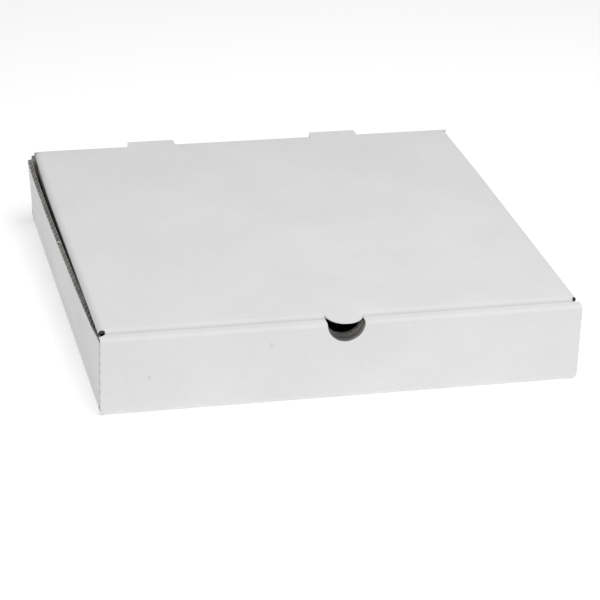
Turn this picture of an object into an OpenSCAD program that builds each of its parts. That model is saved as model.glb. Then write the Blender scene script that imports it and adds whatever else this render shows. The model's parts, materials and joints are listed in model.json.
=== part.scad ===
// Pizza box of white corrugated board, die cut and folded from one sheet:
// a tray with a rolled front wall, and the lid that hinges on the rear wall.
// Millimetres. X runs left to right, Y front to rear, Z up from the underside of the tray.

/* [Box] */
// Outside width of the tray
box_w = 305; // [260:1:420]
// Outside depth of the tray, from the front face to the rear face
box_d = 305; // [260:1:420]
// Height of the closed box, to the top of the lid
box_h = 52.2; // [46:0.1:80]
// How far the front rim lies below the top of the lid
rim_drop = 1.2; // [0.4:0.1:3]

/* [Board] */
// Thickness of the corrugated board
board_t = 3; // [2:0.1:4]
// Inside radius of a fold
fold_in_r = 0.5; // [0.2:0.1:1]
// Gap between layers of board that lie face to face
ply_gap = 0.3; // [0.2:0.05:0.6]

/* [Front wall] */
// Outside radius along both edges of the rolled rim
rim_r = 2.5; // [1:0.1:2.8]
// Radius of the thumb notch in the front wall
notch_r = 12.7; // [9:0.1:18]
// How far the centre of the notch lies below the rim
notch_drop = 1; // [0:0.1:4]
// How much higher the notch ends in the inner layer than in the outer one
notch_step = 2.2; // [0.5:0.1:4]
// Width of each lock tab at the foot of the inner layer
lock_w = 30; // [15:1:45]
// Distance of each lock tab's centre from the middle of the box
lock_x = 80; // [50:1:100]

/* [Side walls] */
// How far the top of a side wall bows outwards at its widest point
side_bow = 3.8; // [0:0.1:6]
// Distance of that widest point from the front face
bow_from_front = 250; // [180:1:300]
// Length of the corner flaps at both ends of a side wall
corner_flap_l = 45; // [20:1:55]

/* [Lid] */
// Gap between the lid's front fold and the rolled front wall
lid_gap = 0.4; // [0.3:0.05:1]
// Gap between the lid's side flaps and the side walls, where they come closest
side_gap = 0.35; // [0.3:0.05:1]
// Gap in height between the lid's rolled side edges and the side walls
edge_gap = 1.7; // [0.5:0.1:3]
// Depth of the lid's rolled side edges below their fold
edge_roll = 0.6; // [0.5:0.1:3]
// Lean of the side flaps towards the middle of the box, in degrees
side_lean = 12; // [9:0.5:20]
// Depth of the side flaps below their fold
side_flap_d = 28; // [10:0.5:32]
// Distance of the side flaps from the front face
side_flap_front = 68; // [40:1:120]
// Distance of the side flaps from the rear face
side_flap_rear = 16; // [12:1:60]
// How far each end of a side flap slants back towards its free edge
side_flap_slant = 18; // [0:1:40]
// Depth of the front tuck flap below its fold
tuck_d = 37; // [15:0.5:38]
// Lean of the tuck flap towards the rear, in degrees
tuck_lean = 6; // [5:0.5:12]
// Distance of the tuck flap's ends from the side faces
tuck_inset = 5.5; // [4:0.1:20]
// How far each end of the tuck flap slants inwards towards its free edge
tuck_slant = 9; // [0:0.5:30]
// Length that the front fold runs past each corner of the flat top
corner_run = 1.3; // [0:0.1:2]

/* [Thumb tongue] */
// Gap between the tongue and each side of the thumb notch
tongue_gap = 0.6; // [0.4:0.1:2]
// How far the tip of the tongue stands out from the front face
tongue_proud = 4.4; // [0:0.1:8]
// Thickness of the crushed edge of the tongue
tongue_edge = 0.6; // [0.4:0.1:2]
// Width of the crushed band along the edge of the tongue
tongue_crush = 5; // [1:0.1:8]
// How far the tongue's hole in the tuck flap reaches below the inner notch
tongue_hole_drop = 3; // [1:0.1:6]

/* [Rear hinge] */
// Gap between the round rear edge of the lid and the top of the rear wall
hinge_gap = 0.2; // [0.1:0.05:0.5]
// Distance of each rear tab's centre from the side face
tab_from_side = 85.6; // [75:0.1:100]
// Width of a rear tab where it leaves the fold
tab_base_w = 35; // [20:0.5:45]
// How much narrower a rear tab is at its tip, on each side
tab_taper = 1.5; // [0:0.1:5]
// How far the rear tabs stand out from the rear face
tab_l = 7.6; // [4:0.1:12]
// Gap around a rear tab when it swings through its slot in the rear wall
slot_gap = 0.5; // [0.3:0.1:1.5]

/* [Hidden] */
$fn = 64;

// Reach of a cut past the surface that it goes through
cut = 1;
// Number of straight steps along a bowed side wall, and of degrees in a corner step
bow_steps = 14;
corner_step = 15;

fold_r = fold_in_r + board_t;
front_y = -box_d / 2;
rear_y = box_d / 2;
side_x = box_w / 2;

// The front wall is the outer layer, the corner flaps in the middle and the inner layer
rim_h = box_h - rim_drop;
rim_w = 3 * board_t + 2 * ply_gap;
inner_y = front_y + rim_w - board_t;
inner_end_x = side_x - board_t - ply_gap;
notch_z = rim_h - notch_drop - notch_r;
inner_notch_z = notch_z + notch_step;
notch_split_y = front_y + rim_w / 2;

// The corner flaps lie behind the outer front layer and in front of the rear wall
flap_front_y = front_y + board_t + ply_gap;
flap_rear_y = rear_y - board_t - ply_gap;
bend_front_y = flap_front_y + fold_r;
bend_rear_y = flap_rear_y - fold_r;

// The lid turns about the middle of the board at its rear fold
hinge_y = rear_y - board_t / 2;
hinge_z = box_h - board_t / 2;
rear_wall_h = hinge_z - board_t / 2 - hinge_gap;
tab_x = side_x - tab_from_side;
tab_sweep_r = norm([tab_l + board_t / 2, board_t / 2]);

// Side edges of the lid: the centre of the fold, and the wall's height below the rolled edge
edge_z = box_h - fold_r;
edge_end_z = edge_z - fold_r * sin(side_lean);
side_h = edge_end_z - edge_roll * cos(side_lean) - edge_gap;
side_flap_y0 = front_y + side_flap_front;
side_flap_y1 = rear_y - side_flap_rear;
wall_in_x = side_x - board_t + min(bow(side_flap_y0), bow(side_flap_y1));
edge_x = wall_in_x - side_gap - fold_r * cos(side_lean) + (edge_end_z - side_h) * tan(side_lean);
lid_half_w = edge_x + fold_r;

// Front fold of the lid, behind the rolled wall
lid_front_y = front_y + rim_w + lid_gap;
fold_y = lid_front_y + fold_r;
top_rear_y = side_flap_y1 + (hinge_y - side_flap_y1) / 2;
tuck_half_w = side_x - tuck_inset;

tongue_r = notch_r - tongue_gap;
tongue_y = front_y - tongue_proud + tongue_r;

// Outward bow of a side wall's top edge at a place along the box
function bow(y) =
    side_bow * (1 - pow((y - front_y - bow_from_front) / (bow_from_front - board_t - fold_r), 2));

// Stations of a side wall's outer face as seen from above, from one corner flap to the other:
// the distance in from the side face, the place along the box, and the way to the inner face
function wall_stations() = concat(
    [[corner_flap_l, flap_front_y, 0, 1]],
    [for (a = [0:corner_step:90])
        [fold_r * (1 - sin(a)), bend_front_y - fold_r * cos(a), sin(a), cos(a)]],
    [for (k = [1:bow_steps - 1])
        [0, bend_front_y + (bend_rear_y - bend_front_y) * k / bow_steps, 1, 0]],
    [for (a = [0:corner_step:90])
        [fold_r * (1 - cos(a)), bend_rear_y + fold_r * sin(a), cos(a), -sin(a)]],
    [[corner_flap_l, flap_rear_y, 0, -1]]
);

// Four corners of a side wall at one station: outer foot, outer top, inner top, inner foot
function wall_corners(s) = let (
    lean = max(0, bow(s[1])),
    x_out = s[0] - side_x,
    x_in = x_out + board_t * s[2],
    y_in = s[1] + board_t * s[3]
) [
    [x_out, s[1], fold_r],
    [x_out - lean, s[1], side_h],
    [x_in - lean, y_in, side_h],
    [x_in, y_in, fold_r]
];

// Section of a fold: part of a ring about its centre, between two angles
module fold_section(from, to) {
    reach = 2 * fold_r;
    middle = (from + to) / 2;
    intersection() {
        difference() {
            circle(fold_r);
            circle(fold_in_r);
        }
        polygon([
            [0, 0],
            reach * [cos(from), sin(from)],
            reach * [cos(middle), sin(middle)],
            reach * [cos(to), sin(to)]
        ]);
    }
}

// Section of the middle layer of the board, which runs on through a fold from the flat board
// at the right of its centre into the wall that stands up at the left
module fold_core() {
    core_t = board_t / 3;
    translate([-fold_in_r, core_t - fold_r])
        square([board_t, core_t]);
    translate([core_t - fold_r, -fold_in_r])
        square([core_t, board_t]);
}

// Stretches a section drawn in Y and Z along X, about the middle of the box
module along_x(length) {
    translate([-length / 2, 0, 0])
        rotate([90, 0, 90])
            linear_extrude(length)
                children();
}

// Stretches a section drawn in X and Z along Y, between two places
module along_y(from, to) {
    translate([0, to, 0])
        rotate([90, 0, 0])
            linear_extrude(to - from)
                children();
}

module both_sides() {
    children();
    mirror([1, 0, 0])
        children();
}

// U-shaped opening for the thumb, with a round foot at the given height
module thumb_opening(from_y, to_y, foot_z) {
    along_y(from_y, to_y)
        union() {
            translate([0, foot_z + notch_r])
                circle(notch_r);
            translate([-notch_r, foot_z + notch_r])
                square([2 * notch_r, box_h]);
        }
}

// Section of the rolled front wall: two layers under a rim with round edges
module front_section() {
    difference() {
        union() {
            translate([front_y, fold_r])
                square([rim_w, rim_h - rim_r - fold_r]);
            translate([front_y + rim_r, rim_h - 2 * rim_r])
                square([rim_w - 2 * rim_r, 2 * rim_r]);
            for (y = [front_y + rim_r, front_y + rim_w - rim_r])
                translate([y, rim_h - rim_r])
                    circle(rim_r);
        }
        translate([front_y + board_t, 0])
            square([rim_w - 2 * board_t, rim_h - board_t]);
        translate([front_y + board_t, 0])
            square([rim_w, board_t + ply_gap]);
    }
}

// Corner that is cut off behind the outer layer, so that the roll fits between the side walls
module rim_end_cut() {
    translate([0, 0, board_t])
        linear_extrude(box_h)
            polygon([
                [-side_x - cut, front_y + board_t],
                [-side_x, front_y + board_t],
                [-inner_end_x, inner_y],
                [-inner_end_x, inner_y + board_t + cut],
                [-side_x - cut, inner_y + board_t + cut]
            ]);
}

module front_wall() {
    difference() {
        along_x(box_w)
            front_section();
        both_sides()
            rim_end_cut();
        thumb_opening(front_y - cut, notch_split_y, notch_z);
        thumb_opening(notch_split_y, front_y + rim_w + cut, inner_notch_z);
    }
    both_sides()
        translate([lock_x - lock_w / 2, inner_y, ply_gap])
            cube([lock_w, board_t, 2 * board_t]);
}

module rear_wall() {
    slot_w = tab_base_w + 2 * slot_gap;
    slot_z = hinge_z - tab_sweep_r - slot_gap;
    difference() {
        translate([-side_x, rear_y - board_t, fold_r])
            cube([box_w, board_t, rear_wall_h - fold_r]);
        both_sides()
            translate([tab_x - slot_w / 2, rear_y - board_t - cut, slot_z])
                cube([slot_w, board_t + 2 * cut, box_h]);
    }
}

// Left side wall with its two corner flaps, one folded strip
module side_wall() {
    stations = wall_stations();
    count = len(stations);
    corners = [for (s = stations) each wall_corners(s)];
    sides = [for (i = [0:count - 2]) for (k = [0:3])
        let (a = 4 * i + k, b = 4 * i + (k + 1) % 4)
            each [[a, b + 4, b], [a, a + 4, b + 4]]];
    last = 4 * (count - 1);
    ends = [[0, 2, 3], [0, 1, 2], [last, last + 2, last + 1], [last, last + 3, last + 2]];
    polyhedron(corners, concat(sides, ends));
}

// Flat bottom with the folds to the four walls, and the slots for the lock tabs
module bottom_panel() {
    flat_y0 = front_y + fold_r;
    flat_y1 = rear_y - fold_r;
    difference() {
        translate([fold_r - side_x, flat_y0, 0])
            cube([box_w - 2 * fold_r, flat_y1 - flat_y0, board_t]);
        both_sides()
            translate([lock_x - lock_w / 2 - ply_gap, inner_y - ply_gap, -cut])
                cube([lock_w + 2 * ply_gap, board_t + 2 * ply_gap, board_t + 2 * cut]);
    }
    along_x(box_w) {
        translate([flat_y0, fold_r])
            fold_section(180, 270);
        translate([flat_y1, fold_r])
            fold_section(270, 360);
    }
    along_x(box_w - 4 * fold_r) {
        translate([flat_y0, fold_r])
            fold_core();
        translate([flat_y1, fold_r])
            mirror([1, 0])
                fold_core();
    }
    both_sides() {
        along_y(bend_front_y, bend_rear_y)
            translate([fold_r - side_x, fold_r])
                fold_section(180, 270);
        along_y(bend_front_y + fold_r, bend_rear_y - fold_r)
            translate([fold_r - side_x, fold_r])
                fold_core();
    }
}

module tray() {
    color("whitesmoke") {
        bottom_panel();
        front_wall();
        rear_wall();
        both_sides()
            side_wall();
    }
}

// One stretch of the round rear edge that the lid turns on
module hinge_edge(from_x, to_x) {
    translate([from_x, hinge_y, hinge_z])
        rotate([0, 90, 0])
            cylinder(h = to_x - from_x, d = board_t);
}

// Flat top of the lid, with its round rear edge between and beside the tabs
module lid_top() {
    tab_half_w = tab_base_w / 2 + slot_gap;
    flat_half_w = edge_x - fold_r;
    translate([-flat_half_w, fold_y, box_h - board_t])
        cube([2 * flat_half_w, hinge_y - fold_y, board_t]);
    translate([-lid_half_w, top_rear_y, box_h - board_t])
        cube([2 * lid_half_w, hinge_y - top_rear_y, board_t]);
    hinge_edge(tab_half_w - tab_x, tab_x - tab_half_w);
    both_sides()
        hinge_edge(tab_x + tab_half_w, lid_half_w);
}

// Section of the lid's left edge about the centre of its fold: the rim of the flat top, the fold
// and the rolled edge below it
module edge_section() {
    difference() {
        union() {
            circle(fold_r);
            square([2 * fold_r, fold_r]);
            rotate(side_lean)
                translate([-fold_r, -edge_roll])
                    square([fold_r, edge_roll]);
        }
        circle(fold_in_r);
        translate([0, -2 * fold_r])
            square([3 * fold_r, 2 * fold_r + fold_in_r]);
        rotate(side_lean)
            translate([-fold_in_r, -2 * fold_r])
                square([2 * fold_in_r, 2 * fold_r]);
        rotate(side_lean)
            translate([-2 * fold_r, -edge_roll - 2 * fold_r])
                square([2 * fold_r, 2 * fold_r]);
    }
}

// Left edge of the lid: its fold and rolled edge along the whole side, and the flap
module lid_side() {
    along_y(fold_y + ply_gap, top_rear_y)
        translate([-edge_x, edge_z])
            edge_section();
    translate([-edge_x, 0, edge_z])
        rotate([0, -side_lean, 0])
            translate([-fold_r, 0, 0])
                rotate([90, 0, 90])
                    linear_extrude(board_t)
                        polygon([
                            [side_flap_y0, 0],
                            [side_flap_y1, 0],
                            [side_flap_y1, -edge_roll],
                            [side_flap_y1 - side_flap_slant, -side_flap_d],
                            [side_flap_y0 + side_flap_slant, -side_flap_d],
                            [side_flap_y0, -edge_roll]
                        ]);
}

// Front fold and tuck flap, without the hole that the tongue was cut from
module tuck_flap() {
    difference() {
        union() {
            along_x(2 * (edge_x + corner_run))
                translate([fold_y, edge_z])
                    fold_section(90, 180 + tuck_lean);
            along_x(2 * tuck_half_w - 4 * fold_r)
                translate([fold_y, edge_z])
                    mirror([0, 1])
                        fold_core();
            translate([0, fold_y, edge_z])
                rotate([tuck_lean, 0, 0])
                    translate([0, -fold_in_r, 0])
                        rotate([90, 0, 0])
                            linear_extrude(board_t)
                                polygon([
                                    [-tuck_half_w, 0],
                                    [tuck_half_w, 0],
                                    [tuck_half_w - tuck_slant, -tuck_d],
                                    [-tuck_half_w + tuck_slant, -tuck_d]
                                ]);
        }
        thumb_opening(lid_front_y - cut, fold_y + 2 * board_t, inner_notch_z - tongue_hole_drop);
    }
}

// Half-round tongue in the plane of the lid, crushed thin along its edge
module tongue() {
    low_z = box_h - board_t;
    flat_r = tongue_r - tongue_crush;
    translate([0, tongue_y, 0])
        rotate_extrude()
            polygon([
                [0, low_z],
                [flat_r, low_z],
                [tongue_r, box_h - tongue_edge],
                [tongue_r, box_h],
                [0, box_h]
            ]);
    along_y(tongue_y, fold_y + board_t)
        polygon([
            [-flat_r, low_z],
            [flat_r, low_z],
            [tongue_r, box_h - tongue_edge],
            [tongue_r, box_h],
            [-tongue_r, box_h],
            [-tongue_r, box_h - tongue_edge]
        ]);
}

// Two tabs cut out of the rear wall, which stand out behind the hinge
module rear_tabs() {
    tip_w = tab_base_w - 2 * tab_taper;
    both_sides()
        translate([tab_x, 0, box_h - board_t])
            linear_extrude(board_t)
                polygon([
                    [-tab_base_w / 2, hinge_y - board_t],
                    [tab_base_w / 2, hinge_y - board_t],
                    [tab_base_w / 2, hinge_y],
                    [tip_w / 2, rear_y + tab_l],
                    [-tip_w / 2, rear_y + tab_l],
                    [-tab_base_w / 2, hinge_y]
                ]);
}

module lid() {
    color("white") {
        lid_top();
        both_sides()
            lid_side();
        tuck_flap();
        tongue();
        rear_tabs();
    }
}

tray();
lid();
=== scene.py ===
"""Pizza box of white corrugated board: its sheets are cut flat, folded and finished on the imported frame."""

import json
import math

import bmesh
import bpy
import numpy as np
from mathutils import Matrix, Vector
from mathutils.geometry import delaunay_2d_cdt


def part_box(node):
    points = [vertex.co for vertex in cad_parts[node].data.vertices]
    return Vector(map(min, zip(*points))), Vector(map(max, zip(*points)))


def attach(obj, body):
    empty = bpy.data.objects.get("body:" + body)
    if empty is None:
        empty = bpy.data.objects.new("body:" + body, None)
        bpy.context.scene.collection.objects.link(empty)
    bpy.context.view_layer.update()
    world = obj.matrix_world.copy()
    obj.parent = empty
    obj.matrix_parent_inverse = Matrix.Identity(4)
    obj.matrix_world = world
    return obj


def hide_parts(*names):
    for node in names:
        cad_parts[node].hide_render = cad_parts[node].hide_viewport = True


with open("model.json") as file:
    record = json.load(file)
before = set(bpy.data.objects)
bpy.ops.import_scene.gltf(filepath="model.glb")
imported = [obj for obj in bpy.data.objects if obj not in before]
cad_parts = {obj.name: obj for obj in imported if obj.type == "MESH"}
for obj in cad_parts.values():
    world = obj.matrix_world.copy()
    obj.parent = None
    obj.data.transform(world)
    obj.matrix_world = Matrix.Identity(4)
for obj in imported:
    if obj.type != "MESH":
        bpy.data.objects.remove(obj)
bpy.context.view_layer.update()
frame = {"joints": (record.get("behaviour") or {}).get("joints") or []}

bl_info = {
    "name": "Pizza box",
    "version": (1, 0, 0),
    "blender": (4, 5, 0),
    "location": "View3D > Sidebar > Pizza box",
    "description": "Cuts, folds and finishes the board of a pizza box around its packed frame",
    "category": "Object",
}

MM = 0.001
TRAY_LO, TRAY_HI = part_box("tray")
LID_LO, LID_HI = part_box("lid")
HINGE = Vector(frame["joints"][0]["pos_m"])
BOARD_T = 2 * (LID_HI.z - HINGE.z)
# Places of the front wall's two smudges on the flat sheet
SMUDGES = [(-122.5 * MM, -172.3 * MM), (-47.0 * MM, -188.1 * MM)]
LAMP_PLACE = (0.13, -0.44, 1.27)
LAMP_SIZE = 1.2
FLOOR_REACH = 4.0
# Keeps the floor just below the box's underside
FLOOR_DROP = 0.3 * MM


def length(name, millimetres, description):
    """A length property whose default is given in millimetres."""
    return bpy.props.FloatProperty(
        name=name, description=description, default=millimetres * MM, min=0.0, unit="LENGTH", precision=5
    )


def angle(name, degrees, description):
    """An angle property whose default is given in degrees."""
    return bpy.props.FloatProperty(
        name=name, description=description, default=math.radians(degrees), subtype="ANGLE"
    )


def number(name, default, description):
    """A plain number property."""
    return bpy.props.FloatProperty(name=name, description=description, default=default)


def colour(name, default, description):
    """A colour property."""
    return bpy.props.FloatVectorProperty(
        name=name, description=description, default=default, size=3, min=0.0, max=1.0, subtype="COLOR"
    )


class BoardSettings(bpy.types.PropertyGroup):
    """Sizes of the corrugated board that both sheets are cut from."""

    thickness: length("Thickness", BOARD_T / MM, "Thickness of the board")
    fold_in: length("Fold", 0.5, "Inner radius of a fold")
    ply_gap: length("Layer gap", 0.3, "Air between two layers of board that lie against each other")
    liner: length("Liner", 0.3, "Thickness of the paper liner on each side")
    medium: length("Medium", 0.25, "Thickness of the wavy paper between the liners")
    pitch: length("Flute pitch", 6.5, "Distance from one wave of the medium to the next")
    open_depth: length("Open edge", 1.8, "How far a cut edge is open between the liners")
    grid: length("Grid", 10.0, "Largest distance between mesh lines on a flat panel")


class TraySettings(bpy.types.PropertyGroup):
    """Sizes of the tray's sheet."""

    side_bow: length("Left bow", 3.8, "How far the top of the left wall leans out where it leans most")
    right_bow: length("Right bow", 0.5, "How far the top of the right wall leans out where it leans most")
    bow_from_front: length("Bow place", 250.0, "Distance from the front to where a side wall leans most")
    bow_reach: length("Bow reach", 243.5, "Distance from there to where a side wall stands upright")
    side_h: length("Side wall", 45.69, "Height of a side wall's raw top edge")
    end_rise: length("End rise", 2.0, "How much higher the left wall's top edge stands at its two ends")
    end_reach: length("End reach", 32.0, "How far from each end the left wall's top edge starts to rise")
    nick_from_rear: length("Nick place", 144.7, "Distance of the nick on the left wall's edge from the rear")
    nick_w: length("Nick width", 2.2, "Width of the nick's tuft of torn paper")
    nick_h: length("Nick height", 0.5, "Height of the nick's tuft of torn paper")
    rim_r: length("Rim front edge", 2.5, "Outer radius along the front edge of the rolled rim")
    rim_in_r: length("Rim inner edge", 2.8, "Outer radius along the inner edge of the rolled rim")
    slant_left: length("Left rim slant", 4.9, "Distance from the front to where the rim's left end slants")
    slant_right: length("Right rim slant", 8.1, "Distance from the front to where the rim's right end slants")
    notch_r: length("Notch", 12.0, "Radius of the thumb notch")
    notch_x: length("Notch place", 0.11, "How far the notch is off the middle, to the right")
    notch_drop: length("Notch drop", 0.4, "How far the notch's centre lies below the rim")
    notch_step: length("Notch step", 1.6, "How much higher the notch's foot is in the inner layer")
    lock_w: length("Lock tab", 30.0, "Width of a lock tab at the foot of the inner front layer")
    lock_x: length("Lock place", 80.0, "Distance of a lock tab's middle from the box's middle")
    corner_flap: length("Corner flap", 45.0, "Length of a corner flap")
    flap_drop: length("Rear flap drop", 0.1, "How much lower the rear corner flaps are than the side walls")
    corner_w: length("Lower corner width", 3.0, "Width of the round on the front wall's lower corners")
    corner_h: length("Lower corner height", 5.0, "Height of that round, measured round the fold")
    hinge_gap: length("Hinge gap", 0.2, "Air between the rear wall's top and the lid's round rear edge")
    slot_drop: length("Rear slots", 8.02, "Depth of the two slots in the rear wall")


class LidSettings(bpy.types.PropertyGroup):
    """Sizes of the lid's sheet."""

    gap: length("Lid gap", 0.4, "Air between the lid's front edge and the rolled rim")
    side_lean: angle("Side lean", 12.0, "How far the side flaps turn past a right angle")
    edge_roll: length("Edge roll", 0.6, "Height of the cut edge below the fold along the sides")
    side_flap_d: length("Side flap", 28.0, "Depth of a side flap")
    side_flap_front: length("Side flap front", 68.0, "Distance of the side flaps from the front wall")
    side_flap_rear: length("Side flap rear", 16.0, "Distance of the side flaps from the rear wall")
    side_flap_slant: length("Side flap slant", 18.0, "Slant of the side flaps' ends")
    edge_rear: length("Edge rear", 3.4, "Distance of the folded side edges' rear ends from the rear wall")
    tuck_d: length("Tuck flap", 37.0, "Depth of the front tuck flap")
    tuck_lean: angle("Tuck lean", 6.0, "How far the tuck flap turns past a right angle")
    tuck_inset: length("Tuck inset", 5.5, "How much narrower than the box the tuck flap is on each side")
    tuck_slant: length("Tuck slant", 9.0, "How much narrower the tuck flap is at its free edge on each side")
    corner_front: length("Corner front", 1.2, "How far the top reaches round the front fold at a corner")
    corner_lap: length("Corner lap", 1.6, "How far the top reaches round the side fold at a front corner")
    corner_left: length("Left corner back", 2.0, "How far the lower left edge is cut back at the front")
    corner_right: length("Right corner back", 0.4, "How far the lower right edge is cut back at the front")
    tongue_x: length("Tongue place", 0.42, "How far the tongue is off the middle, to the right")
    tongue_short: length("Tongue wear", 2.2, "How much of the tongue's tip is worn away")
    tongue_r: length("Tongue", 11.64, "Radius of the thumb tongue")
    tongue_gap: length("Tongue gap", 0.6, "Air round the tongue's tip in the hole it was cut from")
    flare: length("Lid flare", 1.35, "How far the lid's right side has spread outwards")
    nip: length("Lid nip", 1.0, "How far each rear corner of the lid is drawn inwards")
    press: length("Flap press", 2.4, "How far the upright right wall presses the right side flap inwards")
    slit_from: length("Slit start", 2.0, "How far round the front fold the slits beside the tongue start")
    tongue_edge: length("Tongue edge", 0.6, "Thickness of the tongue's crushed edge")
    tongue_crush: length("Tongue crush", 5.0, "Width of the tongue's crushed edge")
    tab_from_side: length("Rear tab place", 85.6, "Distance of a rear tab's middle from the side of the box")
    tab_w: length("Rear tab", 35.0, "Width of a rear tab at its root")
    tab_taper: length("Rear tab taper", 0.9, "How much narrower a rear tab is at its tip on each side")
    tab_skew: length("Rear tab skew", 0.7, "How far the tip of a rear tab lies to the right of its root")
    slot_gap: length("Slot gap", 0.5, "Air beside a rear tab in its slot")


class FinishSettings(bpy.types.PropertyGroup):
    """Colours of the board."""

    white: colour("White liner", (0.80, 0.80, 0.795), "Outer liner")
    brown: colour("Inner liner", (0.39, 0.378, 0.362), "Inner liner")
    smudge_w: length("Smudge width", 2.4, "Width of the two faint smudges on the front wall")
    smudge_h: length("Smudge height", 4.2, "Height of the two faint smudges on the front wall")
    smudge: number("Smudge", 0.32, "How strongly the smudges show")
    cut: colour("Cut edge", (0.45, 0.441, 0.428), "Open cut edges and the wavy medium")


class StageSettings(bpy.types.PropertyGroup):
    """Floor, light and camera."""

    floor: colour("Floor", (0.97, 0.97, 0.97), "Colour of the floor")
    floor_glow: number("Floor glow", 0.30, "Light that the floor gives off, for a shadowless white sweep")
    sky: number("Room light", 0.335, "Strength of the even light from all round")
    top: bpy.props.FloatProperty(name="Top light", description="Overhead light", default=13.2, unit="POWER")
    lens: bpy.props.FloatProperty(
        name="Lens", description="Focal length on a 36 mm sensor", default=149.9, unit="CAMERA"
    )
    distance: length("Distance", 1685.4, "Distance of the camera from the middle of the box's underside")
    azimuth: angle("Azimuth", -13.9, "Direction of the camera round the box, from the front")
    elevation: angle("Elevation", 25.0, "Height of the camera above the horizon")
    roll: angle("Roll", 2.03, "Roll of the camera")
    shift_x: number("Shift across", 0.01996, "Sideways shift of the lens")
    shift_y: number("Shift up", -0.00942, "Upward shift of the lens")


class Field:
    """A shader socket that takes part in Python sums; each sum adds a Math node."""

    def __init__(self, tree, socket):
        self.tree = tree
        self.socket = socket

    def sum(self, operation, *values):
        node = self.tree.nodes.new("ShaderNodeMath")
        node.operation = operation
        for place, value in zip(node.inputs, values):
            if isinstance(value, Field):
                self.tree.links.new(value.socket, place)
            else:
                place.default_value = value
        return Field(self.tree, node.outputs[0])

    def __add__(self, other):
        return self.sum("ADD", self, other)

    def __radd__(self, other):
        return self.sum("ADD", other, self)

    def __sub__(self, other):
        return self.sum("SUBTRACT", self, other)

    def __rsub__(self, other):
        return self.sum("SUBTRACT", other, self)

    def __mul__(self, other):
        return self.sum("MULTIPLY", self, other)

    def __rmul__(self, other):
        return self.sum("MULTIPLY", other, self)

    def __truediv__(self, other):
        return self.sum("DIVIDE", self, other)

    def __rtruediv__(self, other):
        return self.sum("DIVIDE", other, self)

    def sine(self):
        return self.sum("SINE", self)


class Surface:
    """A node material in the making, with the board's own flat coordinates at hand."""

    def __init__(self, name):
        self.material = bpy.data.materials.new(name)
        self.material.use_nodes = True
        self.tree = self.material.node_tree
        self.tree.nodes.clear()

    def node(self, kind, settings, sockets, output=0):
        """Adds a node: its settings first, then the values or links of its sockets."""
        node = self.tree.nodes.new(kind)
        for key, value in settings.items():
            setattr(node, key, value)
        for key, value in sockets.items():
            if isinstance(value, Field):
                self.tree.links.new(value.socket, node.inputs[key])
            else:
                node.inputs[key].default_value = value
        return Field(self.tree, node.outputs[output])

    def sheet(self):
        """Flat coordinates of the board at this point, in metres."""
        return self.node("ShaderNodeAttribute", {"attribute_name": "sheet"}, {}, "Vector")

    def parts(self, vector):
        """The three numbers of a vector."""
        split = self.tree.nodes.new("ShaderNodeSeparateXYZ")
        self.tree.links.new(vector.socket, split.inputs[0])
        return [Field(self.tree, socket) for socket in split.outputs]

    def stretched(self, vector, scale):
        """A vector multiplied part by part."""
        return self.node("ShaderNodeVectorMath", {"operation": "MULTIPLY"}, {0: vector, 1: scale})

    def noise(self, vector, scale, detail=3.0, roughness=0.55):
        """Cloudy noise from 0 to 1, with this many clouds a metre."""
        return self.node(
            "ShaderNodeTexNoise",
            {"noise_dimensions": "3D"},
            {"Vector": vector, "Scale": scale, "Detail": detail, "Roughness": roughness},
            "Fac",
        )

    def between(self, value, low, high):
        """0 below low, 1 above high, and smooth between them."""
        return self.node(
            "ShaderNodeMapRange",
            {"interpolation_type": "SMOOTHSTEP"},
            {"Value": value, "From Min": low, "From Max": high},
            "Result",
        )

    def mixed(self, factor, first, second):
        """A colour between two colours."""
        return self.node("ShaderNodeMix", {"data_type": "RGBA"}, {0: factor, 6: first, 7: second}, 2)

    def finish(self, base, roughness, height, depth, **constants):
        """Ends the material: colour, roughness and a bump of this depth in metres."""
        bump = self.node("ShaderNodeBump", {}, {"Strength": 1.0, "Distance": depth, "Height": height})
        sockets = {"Base Color": base, "Roughness": roughness, "Normal": bump}
        sockets.update(constants)
        shader = self.node("ShaderNodeBsdfPrincipled", {}, sockets)
        output = self.tree.nodes.new("ShaderNodeOutputMaterial")
        self.tree.links.new(shader.socket, output.inputs["Surface"])
        return self.material


def shade(rgb, factor):
    """A colour made lighter or darker, with its alpha."""
    return tuple(min(1.0, part * factor) for part in rgb) + (1.0,)


def white_liner(context, name, smudges):
    """Bleached outer liner: matte, faintly clouded and fibrous, with the flutes showing through."""
    finish = context.scene.box_finish
    board = context.scene.box_board
    s = Surface(name)
    sheet = s.sheet()
    across, along, _ = s.parts(sheet)
    clouds = s.noise(sheet, 14.0, 2.0)
    mottle = s.noise(sheet, 260.0, 4.0)
    fibres = s.noise(s.stretched(sheet, (1.0, 3.5, 1.0)), 900.0, 4.0, 0.65)
    flutes = (along * (2 * math.pi / board.pitch)).sine()
    specks = s.between(s.noise(sheet, 420.0, 2.0), 0.735, 0.76)
    tone = clouds * 0.55 + mottle * 0.25 + fibres * 0.2
    base = s.mixed(s.between(tone, 0.3, 0.7), shade(finish.white, 0.955), shade(finish.white, 1.02))
    base = s.mixed(specks * 0.25, base, shade(finish.white, 0.62))
    for middle in smudges:
        wide = (across - middle[0]) / (finish.smudge_w / 2)
        high = (along - middle[1]) / (finish.smudge_h / 2)
        spot = 1 - s.between(wide * wide + high * high, 0.1, 1.0)
        base = s.mixed(spot * finish.smudge, base, shade(finish.white, 0.6))
    rough = 0.60 + fibres * 0.16 + mottle * 0.06
    height = fibres * 0.3 + mottle * 0.4 + flutes * 0.25
    return s.finish(base, rough, height, 0.00006, **{"Specular IOR Level": 0.35})


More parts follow.
